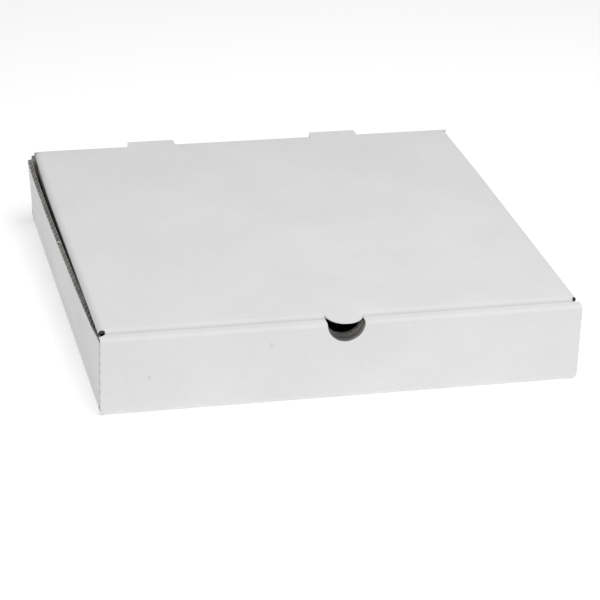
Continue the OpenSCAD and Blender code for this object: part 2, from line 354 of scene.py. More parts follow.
def brown_liner(context):
    """Unbleached inner liner: grey-brown, with long fibres, streaks and dark specks."""
    finish = context.scene.box_finish
    board = context.scene.box_board
    s = Surface("inner liner")
    sheet = s.sheet()
    along = s.parts(sheet)[1]
    clouds = s.noise(sheet, 22.0, 3.0)
    fibres = s.noise(s.stretched(sheet, (1.0, 5.0, 1.0)), 420.0, 5.0, 0.65)
    streaks = s.noise(s.stretched(sheet, (0.12, 1.0, 1.0)), 300.0, 3.0)
    specks = s.between(s.noise(sheet, 1100.0, 2.0), 0.68, 0.75)
    flutes = (along * (2 * math.pi / board.pitch)).sine()
    tone = clouds * 0.4 + fibres * 0.35 + streaks * 0.25
    base = s.mixed(s.between(tone, 0.32, 0.68), shade(finish.brown, 0.82), shade(finish.brown, 1.12))
    base = s.mixed(specks * 0.55, base, shade(finish.brown, 0.42))
    rough = 0.78 + fibres * 0.15
    height = fibres * 0.45 + streaks * 0.2 + flutes * 0.6
    return s.finish(base, rough, height, 0.00009, **{"Specular IOR Level": 0.25})


def cut_board(context):
    """Sawn-off paper of a cut edge and the wavy medium inside it: dull, fibrous and uneven."""
    finish = context.scene.box_finish
    s = Surface("cut board")
    sheet = s.sheet()
    clouds = s.noise(sheet, 90.0, 3.0)
    fibres = s.noise(s.stretched(sheet, (1.0, 1.0, 6.0)), 1500.0, 4.0, 0.7)
    tone = clouds * 0.5 + fibres * 0.5
    base = s.mixed(s.between(tone, 0.3, 0.7), shade(finish.cut, 0.72), shade(finish.cut, 1.3))
    rough = 0.86 + fibres * 0.12
    return s.finish(base, rough, fibres, 0.00012, **{"Specular IOR Level": 0.15})


def floor_paint(context):
    """Plain white sweep with the faintest unevenness."""
    stage = context.scene.box_stage
    s = Surface("floor")
    place = s.node("ShaderNodeNewGeometry", {}, {}, "Position")
    clouds = s.noise(place, 3.0, 2.0)
    base = s.mixed(clouds, shade(stage.floor, 0.99), shade(stage.floor, 1.0))
    glow = {"Emission Color": (1.0, 1.0, 1.0, 1.0), "Emission Strength": stage.floor_glow}
    return s.finish(base, 0.9 + clouds * 0.05, clouds, 0.0001, **{"Specular IOR Level": 0.1}, **glow)


def board_finish(context, sheet_name, smudges=()):
    """Outer liner, inner liner and cut edge of one sheet, of which the sheets share the last two."""
    white = white_liner(context, sheet_name + " white liner", smudges)
    makers = {"inner liner": brown_liner, "cut board": cut_board}
    return [white] + [bpy.data.materials.get(name) or make(context) for name, make in makers.items()]


class Run:
    """The middle of a strip of board seen from its end: straight lengths and bends in a row."""

    BEND_STEP = math.radians(15)

    def __init__(self, start, heading, outer, pieces):
        """outer is 1 where the outer liner is on the left of the way along the strip, else -1."""
        self.outer = outer
        self.steps = []
        self.marks = []
        place = Vector(start)
        gone = 0.0
        for reach, turn in pieces:
            self.steps.append((gone, reach, turn, place, heading))
            count = max(1, math.ceil(abs(turn) / self.BEND_STEP))
            self.marks += [gone + reach * i / count for i in range(count + 1)]
            place = self.spot(self.steps[-1], reach, 0.0)
            heading += turn
            gone += reach
        self.length = gone

    def spot(self, step, along, h):
        """Point at this distance along one step, lifted by h towards the outer liner."""
        _, reach, turn, place, heading = step
        now = heading + (turn * along / reach if turn else 0.0)
        left = Vector((-math.sin(now), math.cos(now)))
        lift = h * self.outer
        if not turn:
            return place + Vector((math.cos(heading), math.sin(heading))) * along + left * lift
        radius = reach / turn
        middle = place + Vector((-math.sin(heading), math.cos(heading))) * radius
        if lift * radius > 0:
            lift = math.copysign(min(abs(lift), abs(radius) - 0.1 * MM), lift)
        return middle - left * (radius - lift)

    def at(self, along, h):
        """Point at this distance along the strip, lifted by h towards the outer liner."""
        step = self.steps[0]
        for later in self.steps:
            if later[0] <= along:
                step = later
        return self.spot(step, along - step[0], h)

    def reach_of(self, index):
        """Distance along the strip at which one of its lengths starts."""
        return self.steps[index][0] if index < len(self.steps) else self.length


def bend(radius, turn):
    """A bend of this middle radius, as a length and a turn."""
    return (radius * abs(turn), turn)


def straight(reach):
    """A straight length."""
    return (reach, 0.0)


def mirrored(right, left):
    """A loop from its two halves, both given as right halves that start and end on the middle line."""
    return right + [(-u, v) for u, v in reversed(left) if u > 1e-9]


def arc(centre, radius, start, end, count):
    """Points on an arc, angles in degrees."""
    points = []
    for i in range(count + 1):
        now = math.radians(start + (end - start) * i / count)
        points.append((centre[0] + radius * math.cos(now), centre[1] + radius * math.sin(now)))
    return points


def oval(centre, half_w, half_h, start, end):
    """Points on part of an oval, angles in degrees."""
    return [(centre[0] + half_w * x, centre[1] + half_h * y) for x, y in arc((0.0, 0.0), 1.0, start, end, 8)]


def turning(a, b, c):
    """Angle by which a path turns at b."""
    first = math.atan2(b[1] - a[1], b[0] - a[0])
    second = math.atan2(c[1] - b[1], c[0] - b[0])
    return (second - first + math.pi) % (2 * math.pi) - math.pi


def area(loop):
    """Signed area of a loop."""
    pairs = zip(loop, loop[1:] + loop[:1])
    return 0.5 * sum(a[0] * b[1] - b[0] * a[1] for a, b in pairs)


def folded(name, fold, rows, polygons, paint, materials):
    """A mesh object from flat rows (u, v, h), folded, with the flat coordinates kept on its points."""
    mesh = bpy.data.meshes.new(name)
    mesh.from_pydata([fold(*row) for row in rows], [], polygons)
    for material in materials:
        mesh.materials.append(material)
    mesh.polygons.foreach_set("material_index", paint)
    flat = mesh.attributes.new("sheet", "FLOAT_VECTOR", "POINT")
    flat.data.foreach_set("vector", [part for row in rows for part in row])
    shell = bmesh.new()
    shell.from_mesh(mesh)
    bmesh.ops.recalc_face_normals(shell, faces=shell.faces)
    shell.to_mesh(mesh)
    shell.free()
    mesh.shade_smooth()
    mesh.set_sharp_from_angle(angle=math.radians(35))
    obj = bpy.data.objects.new(name, mesh)
    bpy.context.scene.collection.objects.link(obj)
    return obj


class Sheet:
    """A die-cut sheet of board: the loops of its flat blank, and the fold that shapes it."""

    EDGE_STEP = 3.0 * MM  # longest step along a cut
    CLOSEST = 0.12 * MM  # shortest step along a cut
    LEVEL = 0.05 * MM  # a cut that drifts by less than this runs along the mesh lines
    CLEAR = 0.2 * MM  # shortest distance from a cut to a point of the grid
    CORNER = math.radians(25)  # turn from which a cut has a corner
    WAVE_STEP = 0.55 * MM  # longest step along the wavy medium
    WAVE_SUNK = 0.08 * MM  # how far the medium lies behind the cut
    WAVE_SHORT = 0.02 * MM  # how far the medium stops before the groove's floor
    SHUT_DEPTH = 0.35 * MM  # depth of the groove where a cut is pressed shut
    NOSE = 0.85  # reach of a round edge as a share of half the thickness

    def __init__(self, board, outline, holes, us, vs, fold, edge, inner=None):
        """Takes loops, mesh lines and functions of a place on the flat sheet.

        fold(u, v, h) places a point, edge(u, v) is open, shut, plain or round, and inner(u, v) is the
        inner face's h.
        """
        self.board = board
        self.half_t = board.thickness / 2
        self.us = sorted(us)
        self.vs = sorted(vs)
        self.fold = fold
        self.edge = edge
        self.inner = inner or (lambda u, v: -self.half_t)
        loops = [outline if area(outline) > 0 else outline[::-1]]
        loops += [hole if area(hole) < 0 else hole[::-1] for hole in holes]
        self.loops = [self.refined(loop) for loop in loops]

    def refined(self, loop):
        """The loop with points wherever it crosses a mesh line: (u, v, inward normal, open depth)."""
        points = []
        for i, a in enumerate(loop):
            before = loop[i - 1]
            b = loop[(i + 1) % len(loop)]
            reach = math.dist(a, b)
            limit = self.board.open_depth
            if abs(turning(before, a, b)) > self.CORNER:
                limit = min(limit, 0.4 * reach, 0.4 * math.dist(before, a))
            count = math.ceil(reach / self.EDGE_STEP)
            cuts = {j / count for j in range(count)}
            for axis, lines in ((0, self.us), (1, self.vs)):
                span = b[axis] - a[axis]
                if abs(span) > self.LEVEL:
                    cuts |= {(line - a[axis]) / span for line in lines}
            last = None
            for cut in sorted(c for c in cuts if 0.0 <= c < 1.0):
                if cut and min(cut, 1 - cut) * reach < self.CLOSEST:
                    continue
                if last is not None and (cut - last) * reach < self.CLOSEST:
                    continue
                last = cut
                spot = (a[0] + (b[0] - a[0]) * cut, a[1] + (b[1] - a[1]) * cut)
                points.append((spot, limit if cut == 0 else self.board.open_depth))
        rows = []
        for i, (spot, depth) in enumerate(points):
            before = points[i - 1][0]
            after = points[(i + 1) % len(points)][0]
            way_in = (Vector(spot) - Vector(before)).normalized()
            way_out = (Vector(after) - Vector(spot)).normalized()
            normal = Vector((-way_in.y - way_out.y, way_in.x + way_out.x))
            if normal.length < 1e-6:
                normal = Vector((-way_in.y, way_in.x))
            normal.normalize()
            normal /= max(0.5, normal.dot(Vector((-way_in.y, way_in.x))))
            rows.append((spot[0], spot[1], normal, depth))
        return rows

    def covers(self, points):
        """For each point, whether it is on the board, and its distance from the nearest cut."""
        pu, pv = points[:, 0], points[:, 1]
        on = np.zeros(len(points), bool)
        near = np.full(len(points), np.inf)
        for loop in self.loops:
            for i, row in enumerate(loop):
                u0, v0 = row[0], row[1]
                u1, v1 = loop[(i + 1) % len(loop)][:2]
                du, dv = u1 - u0, v1 - v0
                if dv:
                    on ^= ((v0 > pv) != (v1 > pv)) & (pu < du * (pv - v0) / dv + u0)
                part = np.clip(((pu - u0) * du + (pv - v0) * dv) / (du * du + dv * dv), 0, 1)
                near = np.minimum(near, np.hypot(pu - u0 - part * du, pv - v0 - part * dv))
        return on, near

    def mesh_lines(self, spots):
        """Edges along the mesh lines, so that no triangle reaches across a line of a bend."""
        edges = []
        for axis, lines in ((0, self.us), (1, self.vs)):
            for line in lines:
                row = np.flatnonzero(np.abs(spots[:, axis] - line) < 0.001 * MM)
                row = row[np.argsort(spots[row, 1 - axis])]
                edges += list(zip(row[:-1], row[1:]))
        edges = np.array(edges)
        on, _ = self.covers((spots[edges[:, 0]] + spots[edges[:, 1]]) / 2)
        return [(int(a), int(b)) for a, b in edges[on]]

    def triangles(self):
        """Blank points, triangles over them, and each loop as a list of point numbers."""
        grid = np.array([(u, v) for v in self.vs for u in self.us])
        on, near = self.covers(grid)
        spots = [row[:2] for loop in self.loops for row in loop]
        spots += [tuple(p) for p in grid[on & (near > self.CLEAR)]]
        edges = []
        first = 0
        for loop in self.loops:
            edges += [(first + i, first + (i + 1) % len(loop)) for i in range(len(loop))]
            first += len(loop)
        edges += self.mesh_lines(np.array(spots))
        scaled = [Vector((u / MM, v / MM)) for u, v in spots]
        found, _, faces, origins, _, _ = delaunay_2d_cdt(scaled, edges, [], 0, 1e-5)
        number_of = {old: new for new, olds in enumerate(origins) for old in olds}
        points = [(p.x * MM, p.y * MM) for p in found]
        middles = np.array([[sum(points[i][k] for i in face) / 3 for k in (0, 1)] for face in faces])
        on, _ = self.covers(middles)
        kept = [face for face, good in zip(faces, on) if good]
        loops = []
        first = 0
        for loop in self.loops:
            loops.append([number_of[first + i] for i in range(len(loop))])
            first += len(loop)
        return points, kept, loops

    def profile(self, u, v, normal, depth):
        """The four rows of points between the outer and the inner face at a cut: blank place and h."""
        kind = self.edge(u, v)
        low = self.inner(u, v)
        if kind == "round":
            rows = []
            for turn in (36, 72, 108, 144):
                out = self.NOSE * self.half_t * math.sin(math.radians(turn))
                rows.append((u, v + out, self.half_t * math.cos(math.radians(turn))))
            return rows
        if kind == "plain":
            span = low - self.half_t
            return [(u, v, self.half_t + span * part) for part in (0.2, 0.4, 0.6, 0.8)]
        if kind == "shut":
            depth = min(depth, self.SHUT_DEPTH)
        lip = self.half_t - self.board.liner
        inset = (u + normal.x * depth, v + normal.y * depth)
        return [(u, v, lip), (*inset, lip), (*inset, -lip), (u, v, -lip)]

    def mesh(self, name, materials):
        """The folded sheet as a closed mesh object."""
        points, faces, loops = self.triangles()
        rows = []
        outer = {}
        lower = {}
        for i in sorted({i for face in faces for i in face}):
            u, v = points[i]
            outer[i] = len(rows)
            rows.append((u, v, self.half_t))
            lower[i] = len(rows)
            rows.append((u, v, self.inner(u, v)))
        polygons = [[outer[i] for i in face] for face in faces]
        paint = [0] * len(polygons)
        polygons += [[lower[i] for i in reversed(face)] for face in faces]
        paint += [1] * len(faces)
        for loop, numbers in zip(self.loops, loops):
            ladders = []
            for (u, v, normal, depth), i in zip(loop, numbers):
                start = len(rows)
                rows += self.profile(u, v, normal, depth)
                ladders.append([outer[i]] + list(range(start, start + 4)) + [lower[i]])
            for i, ladder in enumerate(ladders):
                after = ladders[(i + 1) % len(ladders)]
                kind = self.edge(*loop[i][:2])
                for k in range(5):
                    polygons.append([ladder[k], ladder[k + 1], after[k + 1], after[k]])
                    soft = 0 if k < 1 else 1
                    paint.append({"open": 2, "shut": 0, "plain": 0, "round": soft}[kind])
        return folded(name, self.fold, rows, polygons, paint, materials)

    def flutes(self, name, material):
        """The wavy medium that shows in the open cut edges, as closed ribbons."""
        swing = self.half_t - self.board.liner - self.board.medium / 2
        rows = []
        polygons = []
        for loop in self.loops:
            sections = []
            for i, (u, v, normal, depth) in enumerate(loop):
                u1, v1, normal1, depth1 = loop[(i + 1) % len(loop)]
                kinds = {self.edge(u, v), self.edge(u1, v1)}
                if kinds - {"open", "shut"}:
                    sections.append(None)
                    continue
                if "shut" in kinds:
                    depth = min(depth, self.SHUT_DEPTH)
                    depth1 = min(depth1, self.SHUT_DEPTH)
                count = max(1, math.ceil(abs(v1 - v) / self.WAVE_STEP))
                for j in range(count):
                    part = j / count
                    inward = normal.lerp(normal1, part)
                    deep = depth + (depth1 - depth) * part
                    sections.append((u + (u1 - u) * part, v + (v1 - v) * part, inward, deep))
            self.ribbon(sections, swing, rows, polygons)
        return folded(name, self.fold, rows, polygons, [0] * len(polygons), [material])

    def ribbon(self, sections, swing, rows, polygons):
        """Adds the medium along one loop; None in the sections breaks it."""
        half = self.board.medium / 2
        numbers = []
        for section in sections:
            if section is None:
                numbers.append(None)
                continue
            u, v, inward, deep = section
            h = swing * math.sin(2 * math.pi * v / self.board.pitch)
            start = len(rows)
            for inset in (self.WAVE_SUNK, deep - self.WAVE_SHORT):
                for lift in (half, -half):
                    rows.append((u + inward.x * inset, v + inward.y * inset, h + lift))
            numbers.append([start, start + 1, start + 3, start + 2])
        for i, ring in enumerate(numbers):
            before = numbers[i - 1]
            after = numbers[(i + 1) % len(numbers)]
            if ring is None:
                continue
            if before is None:
                polygons.append(ring[::-1])
            if after is None:
                polygons.append(ring)
                continue
            for k in range(4):
                polygons.append([ring[k], ring[(k + 1) % 4], after[(k + 1) % 4], after[k]])


def tube(ring, count, first=0):
    """Faces of a closed tube: this many rings of this many points, numbered on from the first."""
    faces = []
    for c in range(count - 1):
        for k in range(ring):
            a = first + c * ring + k
            b = first + c * ring + (k + 1) % ring
            faces.append([a, b, b + ring, a + ring])
    last = first + (count - 1) * ring
    return faces + [list(range(first, first + ring)), list(range(last, last + ring))]


def eased(part):
    """0 below 0, 1 above 1, and smooth between them."""
    part = max(0.0, min(1.0, part))
    return part * part * (3 - 2 * part)


def spaced(low, high, step):
    """Evenly spaced numbers from low to high, at most a step apart."""
    count = max(1, math.ceil((high - low) / step))
    return [low + (high - low) * i / count for i in range(count + 1)]


def tray_sheet(context):
    """The tray's blank and its folds."""
    board = context.scene.box_board
    tray = context.scene.box_tray
    lid = context.scene.box_lid
    t = board.thickness
    fold_r = board.fold_in + t
    mid_r = board.fold_in + t / 2
    half_w = TRAY_HI.y
    flat = half_w - fold_r
    front_y, rear_y = TRAY_LO.y, TRAY_HI.y
    rim_h = TRAY_HI.z
    rim_w = 3 * t + 2 * board.ply_gap
    corner_y = flat - t - board.ply_gap
    quarter = math.pi / 2

    front = Run((-flat, t / 2), math.pi, 1, [
        bend(mid_r, -quarter),
        straight(rim_h - tray.rim_r - fold_r),
        bend(tray.rim_r - t / 2, -quarter),
        straight(rim_w - tray.rim_r - tray.rim_in_r),
        bend(tray.rim_in_r - t / 2, -quarter),
        straight(rim_h - tray.rim_in_r - t - board.ply_gap),
        straight(t),
    ])
    rear_top = HINGE.z - t / 2 - tray.hinge_gap
    rear = Run((flat, t / 2), 0.0, -1, [bend(mid_r, quarter), straight(rear_top - fold_r)])
    side = Run((flat, t / 2), 0.0, -1, [bend(mid_r, quarter), straight(tray.side_h - fold_r)])
    arc_run = mid_r * quarter
    flap_run = arc_run + tray.corner_flap - fold_r

    def lean(u, y, z):
        y = max(front_y, min(rear_y, y))
        most = tray.side_bow if u < 0 else tray.right_bow
        bow = most * (1 - ((y - front_y - tray.bow_from_front) / tray.bow_reach) ** 2)
        return max(0.0, bow) * up_the_wall(z)

    def up_the_wall(z):
        return max(0.0, z - fold_r) / (tray.side_h - fold_r)

    def rise(u, y):
        if u > 0:
            return 0.0
        from_end = min(y - front_y, rear_y - y)
        return tray.end_rise * eased(1 - (from_end - fold_r) / tray.end_reach)

    def fold(u, v, h):
        out = abs(u)
        if out > flat and (abs(v) < flat or out > half_w + 0.3 * MM):
            a, z = side.at(out - flat, h)
            past = abs(v) - corner_y
            y = v
            if past > 0 and out - flat > arc_run:
                turn = min(past / mid_r, quarter)
                rest = max(0.0, past - arc_run)
                lift = max(h, 0.1 * MM - mid_r)
                a = flat + (mid_r + lift) * math.cos(turn) - rest
                y = math.copysign(corner_y + (mid_r + lift) * math.sin(turn), v)
                z = side.at(out - flat, 0.0)[1]
            return Vector((math.copysign(a + lean(u, y, z), u), y, z + rise(u, y) * up_the_wall(z)))
        if v < -flat:
            y, z = front.at(-flat - v, h)
            return Vector((u, y, z))
        if v > flat:
            y, z = rear.at(v - flat, h)
            return Vector((u, y, z))
        return Vector((u, v, t / 2 - h))

    def on_front(along):
        return -flat - along

    def on_rear(along):
        return flat + along

    wall_top = flat + side.length
    inner_end = half_w - t - board.ply_gap
    foot = on_front(front.reach_of(6))
    lock = on_front(front.length)
    rim_start = front.reach_of(3)
    slant_left = on_front(rim_start + tray.slant_left - tray.rim_r)
    slant_right = on_front(rim_start + tray.slant_right - tray.rim_r)
    slant_in = on_front(rim_start + rim_w - t - tray.rim_r)
    lug = flat - 0.3 * MM
    slit_in = flat - 0.4 * MM
    slit_out = flat + arc_run - 0.1 * MM
    neck = flat + arc_run + 0.3 * MM
    flap_root = half_w + 0.7 * MM
    flap_low = half_w + 2.5 * MM
    flap_start = corner_y + 2.8 * MM
    flap_end = corner_y + flap_run
    wall_foot = 0.6 * MM
    round_x = half_w - tray.corner_w
    slot_x = half_w - lid.tab_from_side
    slot_half = lid.tab_w / 2 + lid.slot_gap
    slot_foot = on_rear(rear.length - tray.slot_drop)
    rear_end = on_rear(rear.length)

    def half(slant):
        """Right half of the outline, where the rim's end slants from this place."""
        return [
            (0.0, foot),
            (tray.lock_x - tray.lock_w / 2, foot),
            (tray.lock_x - tray.lock_w / 2 + 1 * MM, lock),
            (tray.lock_x + tray.lock_w / 2 - 1 * MM, lock),
            (tray.lock_x + tray.lock_w / 2, foot),
            (inner_end, foot),
            (inner_end, slant_in),
            (half_w, slant),
            *oval((round_x, on_front(wall_foot + tray.corner_h)), tray.corner_w, tray.corner_h, 0, 90),
            (slit_in, on_front(wall_foot)),
            (slit_in, -lug),
            (slit_out, -lug),
            (slit_out, -corner_y),
            (neck, -corner_y),
            (flap_root, -flap_start),
            (flap_low, -flap_end),
            (wall_top - 1.5 * MM, -flap_end),
            (wall_top, -corner_y - 2 * MM),
            (wall_top, corner_y + 1.5 * MM),
            (wall_top - tray.flap_drop, corner_y + arc_run + 1 * MM),
            (wall_top - tray.flap_drop, flap_end),
            (flap_low, flap_end),
            (flap_root, flap_start),
            (neck, corner_y),
            (slit_out, corner_y),
            (slit_out, lug),
            (slit_in, lug),
            (slit_in, on_rear(wall_foot)),
            *oval((round_x, on_rear(wall_foot + tray.corner_h)), tray.corner_w, tray.corner_h, -90, 0),
            (half_w, rear_end),
            (slot_x + slot_half, rear_end),
            (slot_x + slot_half, slot_foot),
            (slot_x - slot_half, slot_foot),
            (slot_x - slot_half, rear_end),
            (0.0, rear_end),
        ]

    notch_z = rim_h - tray.notch_drop
    inner_z = notch_z + tray.notch_step
    front_bend_z = rim_h - tray.rim_r
    inner_bend_z = rim_h - tray.rim_in_r
    rights = []
    for x, z in arc((0.0, notch_z), tray.notch_r, -90, -7, 16):
        if z < front_bend_z:
            rights.append((x, on_front(front.reach_of(1) + z - fold_r)))
    rights.append((tray.notch_r, on_front(front.reach_of(2) + 0.6 * MM)))
    rights.append((tray.notch_r, on_front(front.reach_of(4))))
    for x, z in arc((0.0, inner_z), tray.notch_r, -17, -90, 16):
        if z < inner_bend_z:
            rights.append((x, on_front(front.reach_of(5) + inner_bend_z - z)))
    notch = [(u + tray.notch_x, v) for u, v in mirrored(rights, rights)]
    holes = [notch]
    for way in (-1, 1):
        x = way * tray.lock_x
        reach = tray.lock_w / 2 + board.ply_gap
        near = front_y + rim_w - t - board.ply_gap
        far = front_y + rim_w + board.ply_gap
        holes.append([(x - reach, near), (x + reach, near), (x + reach, far), (x - reach, far)])

    us = spaced(-flat, flat, board.grid)
    vs = spaced(-flat, flat, board.grid) + [-corner_y, corner_y]
    vs += [on_front(mark) for mark in front.marks] + [on_rear(mark) for mark in rear.marks]
    for low, high in ((front.reach_of(1), front.reach_of(2)), (front.reach_of(5), front.reach_of(6))):
        vs += [on_front(along) for along in spaced(low, high, board.grid)]
    vs += [on_rear(along) for along in spaced(arc_run, rear.length, board.grid)]
    turns = spaced(0.0, arc_run, arc_run / 6) + spaced(arc_run, flap_run, board.grid)
    flap_vs = [corner_y + along for along in turns]
    for way in (-1, 1):
        us += [way * (flat + along) for along in side.marks + spaced(arc_run, side.length, board.grid)]
        vs += [way * along for along in flap_vs]

    def edge(u, v):
        out = abs(u)
        front_end = on_front(rim_start - 1 * MM) < v < -corner_y + 0.1 * MM
        rear_end_low = corner_y - 0.1 * MM < v < on_rear(rear.length - 6 * MM)
        if flat - 1 * MM < out < half_w + 0.2 * MM and (front_end or rear_end_low):
            return "shut"
        return "open"

    outline = mirrored(half(slant_right), half(slant_left))
    return Sheet(board, outline, holes, distinct(us), distinct(vs), fold, edge)


def distinct(lines):
    """The lines without those that lie on another."""
    kept = []
    for line in sorted(lines):
        if not kept or line - kept[-1] > 0.15 * MM:
            kept.append(line)
    return kept


def lid_sheet(context):
    """The lid's blank and its folds."""
    board = context.scene.box_board
    lid = context.scene.box_lid
    t = board.thickness
    fold_r = board.fold_in + t
    mid_r = board.fold_in + t / 2
    half_w = TRAY_HI.y
    top = LID_HI.z - t / 2
    edge_x = LID_HI.x - fold_r
    rim_w = 3 * t + 2 * board.ply_gap
    fold_y = TRAY_LO.y + rim_w + lid.gap + fold_r
    rear_y = HINGE.y
    edge_end = half_w - lid.edge_rear
    quarter = math.pi / 2

    tuck = Run((fold_y, top), math.pi, -1, [bend(mid_r, quarter + lid.tuck_lean), straight(lid.tuck_d)])
    side = Run((edge_x, top), 0.0, 1, [bend(mid_r, -quarter - lid.side_lean), straight(lid.side_flap_d)])
    tongue_r = lid.tongue_r
    tongue_y = LID_LO.y + lid.tongue_short + tongue_r
    tongue_x = lid.tongue_x
    slit = 0.3 * MM
    snug = 0.12 * MM
    rear_trim = 0.4 * MM
    # Where each of these starts, and over what length it grows
    spread_x, spread_w = 60 * MM, 80 * MM
    spread_z, spread_h = 44 * MM, 4 * MM
    nip_y, nip_d = 60 * MM, 90 * MM
    press_z, press_h = 48.6 * MM, 2.8 * MM

    def to_tongue_edge(u, v):
        """Distance inside the tongue's cut outline, negative outside it."""
        if v > tongue_y:
            return tongue_r - abs(u - tongue_x)
        return tongue_r - math.hypot(u - tongue_x, v - tongue_y)

    def settled(x, y, z):
        """The folded point as the used lid lies: spread at its right side, drawn in at the rear."""
        near_side = eased((abs(x) - spread_x) / spread_w) * eased((z - spread_z) / spread_h)
        shift = lid.flare if x > 0 else 0.0
        shift -= math.copysign(lid.nip * eased((y - nip_y) / nip_d), x)
        return Vector((x + shift * near_side, y, z))

    def fold(u, v, h):
        if v < fold_y and to_tongue_edge(u, v) < -snug / 2:
            y, z = tuck.at(fold_y - v, h)
            if abs(u) > edge_x:
                x, side_z = side.at(abs(u) - edge_x, h)
                return settled(math.copysign(x, u), y, z + side_z - top - h)
            return settled(u, y, z)
        if abs(u) > edge_x and v < edge_end - slit / 2:
            x, z = side.at(abs(u) - edge_x, h)
            if u > 0:
                x -= lid.press * eased((press_z - z) / press_h)
            return settled(math.copysign(x, u), v, z)
        skew = lid.tab_skew * max(0.0, v - rear_y) / (LID_HI.y - rear_y)
        return settled(u + skew, v, top + h)

    def inner(u, v):
        within = to_tongue_edge(u, v)
        if v > fold_y or within < -snug / 2:
            return -t / 2
        crush = max(0.0, 1 - max(0.0, within) / lid.tongue_crush)
        crush *= eased((fold_y - 2.2 * MM - v) / (3.6 * MM))
        return -t / 2 + (t - lid.tongue_edge) * crush

    tab_x = half_w - lid.tab_from_side
    tab_half = lid.tab_w / 2

    def edge(u, v):
        if v > rear_y - 0.1 * MM and abs(abs(u) - tab_x) > tab_half + 0.1 * MM:
            return "round"
        if abs(v - fold_y) < 4 * MM and to_tongue_edge(u, v) > -0.3 * MM:
            return "plain"
        if v < fold_y and to_tongue_edge(u, v) > -0.05 * MM:
            return "plain"
        if edge_x - 0.5 * MM < abs(u) < LID_HI.x - 0.3 * MM and v > edge_end - 1.5 * slit:
            return "shut"
        return "open"

    def on_tuck(along):
        return fold_y - along

    tuck_half = half_w - lid.tuck_inset
    arc_tuck = tuck.reach_of(1)
    roll = side.reach_of(1) + lid.edge_roll
    flap = side.length
    flap_lo = TRAY_LO.y + lid.side_flap_front
    flap_hi = TRAY_HI.y - lid.side_flap_rear

    def half(corner):
        """Right half of the outline, where the lower edge is cut back by this much at the front corner."""
        return [
            (0.0, on_tuck(tuck.length)),
            (tuck_half - lid.tuck_slant - 4 * MM, on_tuck(tuck.length)),
            (tuck_half - lid.tuck_slant - 0.5 * MM, on_tuck(tuck.length - 2.5 * MM)),
            (tuck_half, on_tuck(arc_tuck)),
            (edge_x, on_tuck(arc_tuck)),
            (edge_x, on_tuck(lid.corner_front)),
            (edge_x + lid.corner_lap, fold_y),
            (edge_x + roll, fold_y + corner),
            (edge_x + roll, flap_lo),
            (edge_x + flap - 3 * MM, flap_lo + lid.side_flap_slant - 1.5 * MM),
            (edge_x + flap, flap_lo + lid.side_flap_slant + 2 * MM),
            (edge_x + flap, flap_hi - lid.side_flap_slant - 2 * MM),
            (edge_x + flap - 3 * MM, flap_hi - lid.side_flap_slant + 1.5 * MM),
            (edge_x + roll, flap_hi),
            (edge_x + roll - rear_trim, edge_end - slit),
            (edge_x - 0.2 * MM, edge_end - slit),
            (edge_x - 0.2 * MM, edge_end),
            (LID_HI.x, edge_end),
            (LID_HI.x, rear_y),
            (tab_x + tab_half + lid.slot_gap, rear_y),
            (tab_x + tab_half, rear_y),
            (tab_x + tab_half - lid.tab_taper, LID_HI.y),
            (tab_x - tab_half + lid.tab_taper, LID_HI.y),
            (tab_x - tab_half, rear_y),
            (tab_x - tab_half - lid.slot_gap, rear_y),
            (0.0, rear_y),
        ]

    hole_r = tongue_r + lid.tongue_gap
    snug_r = tongue_r + snug
    base = on_tuck(lid.slit_from)
    loose = on_tuck(arc_tuck + 0.4 * MM)
    ring = [(snug_r, base), (snug_r, loose)] + arc((0.0, tongue_y), hole_r, 0, -180, 40)
    ring += [(-snug_r, loose), (-snug_r, base), (-tongue_r, base)]
    ring += arc((0.0, tongue_y), tongue_r, -180, 0, 40) + [(tongue_r, base)]
    ring = [(u + tongue_x, v) for u, v in ring]

    us = spaced(-edge_x, edge_x, board.grid)
    vs = spaced(fold_y, edge_end, board.grid) + [rear_y, base]
    vs += [on_tuck(mark) for mark in tuck.marks]
    vs += [on_tuck(along) for along in spaced(arc_tuck, tuck.length, board.grid)]
    vs += [tongue_y - tongue_r * k / 6 for k in range(6)]
    us += [tongue_x + tongue_r * k / 6 for k in range(-6, 7)]
    us += [tongue_x - tongue_r - 0.5 * MM, tongue_x + tongue_r + 0.5 * MM]
    for way in (-1, 1):
        us += [way * (edge_x + along) for along in side.marks + spaced(roll, flap, board.grid)]
    # Close lines where the right flap bends in
    us += [edge_x + along for along in spaced(roll, roll + 4 * MM, 0.8 * MM)]
    outline = mirrored(half(lid.corner_right), half(lid.corner_left))
    return Sheet(board, outline, [ring], distinct(us), distinct(vs), fold, edge, inner)


class PIZZABOX_OT_tray(bpy.types.Operator):
    """Cut and fold the tray's sheet, with the wavy medium in its cut edges"""

    bl_idname = "pizzabox.tray"
    bl_label = "Tray"

    def execute(self, context):
        sheet = tray_sheet(context)
        finish = board_finish(context, "tray", SMUDGES)
        body = sheet.mesh("tray_sheet", finish)
        flutes = sheet.flutes("tray_flutes", finish[2])
        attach(body, "tray")
        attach(flutes, "tray")
        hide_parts("tray")
        return {"FINISHED"}


